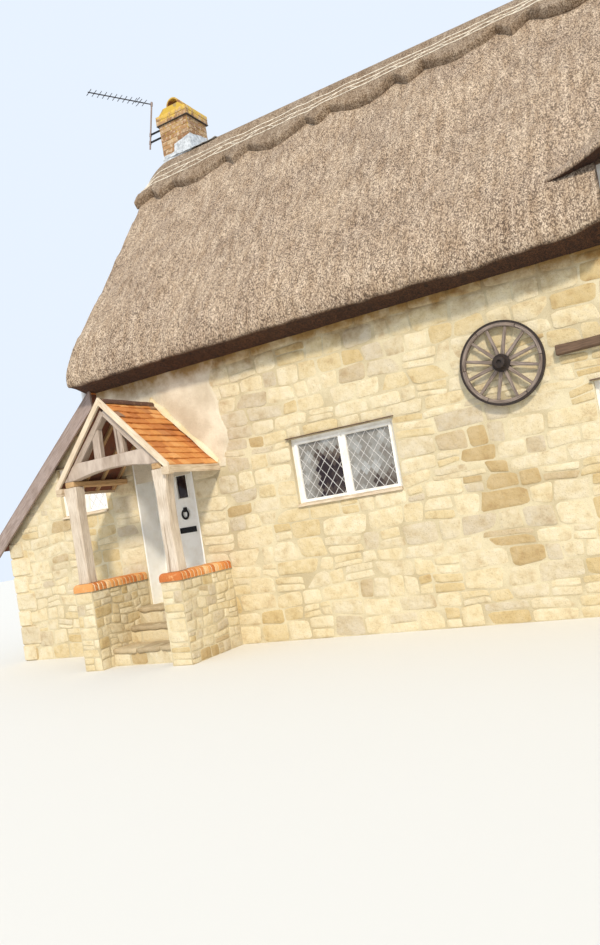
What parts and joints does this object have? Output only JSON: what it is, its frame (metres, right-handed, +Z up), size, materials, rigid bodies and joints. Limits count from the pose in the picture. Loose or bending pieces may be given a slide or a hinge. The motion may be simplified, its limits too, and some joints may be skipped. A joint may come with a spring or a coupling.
{
  "type": "thatched cottage",
  "caption": "Stone cottage with a thatched roof, brick chimneys, an oak-framed porch with a hinged front door, and a tiled lean-to.",
  "frame": {"origin": "under the middle of the main house, on the plane of the lowest ground", "axes": "+X along the front from left to right, +Y from the front towards the back, +Z up"},
  "size_m": [17.95, 6.356, 9.0935],
  "materials": {
    "stone": "rough",
    "thatch": "rough",
    "ridge_straw": "rough",
    "brick": "rough",
    "clay_tile": "matte",
    "coping_brick": "rough",
    "oak": "weathered",
    "dark_timber": "weathered",
    "grey_boards": "weathered",
    "floor_boards": "satin",
    "white_paint": "gloss",
    "window_glass": "gloss",
    "black_iron": "satin",
    "aerial_metal": "satin"
  },
  "bodies": {
    "house": {"front_wall_left": "stone", "front_wall_over_door": "stone", "front_wall": "stone", "back_wall": "stone", "left_gable_wall": "stone", "right_gable_wall": "stone", "ground_floor": "floor_boards", "upper_floor": "floor_boards", "thatch_roof": "thatch", "ridge_cap": "ridge_straw", "left_chimney": "brick", "right_chimney": "brick", "left_chimney_cap": "clay_tile", "right_chimney_cap": "clay_tile", "aerial_mast": "aerial_metal", "aerial_boom": "aerial_metal", "front_left_window": "white_paint", "front_left_glass": "window_glass", "front_middle_window": "white_paint", "front_middle_glass": "window_glass", "front_right_window": "white_paint", "front_right_glass": "window_glass", "front_upper_window": "white_paint", "front_upper_glass": "window_glass", "back_left_window": "white_paint", "back_left_glass": "window_glass", "back_right_window": "white_paint", "back_right_glass": "window_glass", "back_upper_window": "white_paint", "back_upper_glass": "window_glass", "lean_to_window": "white_paint", "lean_to_glass": "window_glass", "door_frame": "white_paint", "porch_left_wall": "stone", "porch_right_wall": "stone", "porch_left_coping": "coping_brick", "porch_right_coping": "coping_brick", "porch_left_post": "oak", "porch_right_post": "oak", "porch_left_plate": "oak", "porch_right_plate": "oak", "porch_truss": "oak", "porch_roof": "clay_tile", "porch_barge": "oak", "porch_steps": "stone", "lean_to_front_wall": "stone", "lean_to_back_wall": "stone", "lean_to_end_wall": "stone", "lean_to_roof": "clay_tile", "lean_to_barge": "grey_boards", "vent_pipe": "white_paint", "wagon_wheel": "dark_timber", "wall_timber": "dark_timber"},
    "door": {"front_door": "white_paint", "door_glass": "window_glass", "letter_plate": "black_iron", "door_knocker": "black_iron"}
  },
  "joints": [
    {"name": "front_door_hinge", "type": "hinge", "parent": "house", "child": "door", "pos_m": [-7.181, -1.948, 1.6], "axis": [0, 0, 1], "range_deg": [0, 90]}
  ]
}
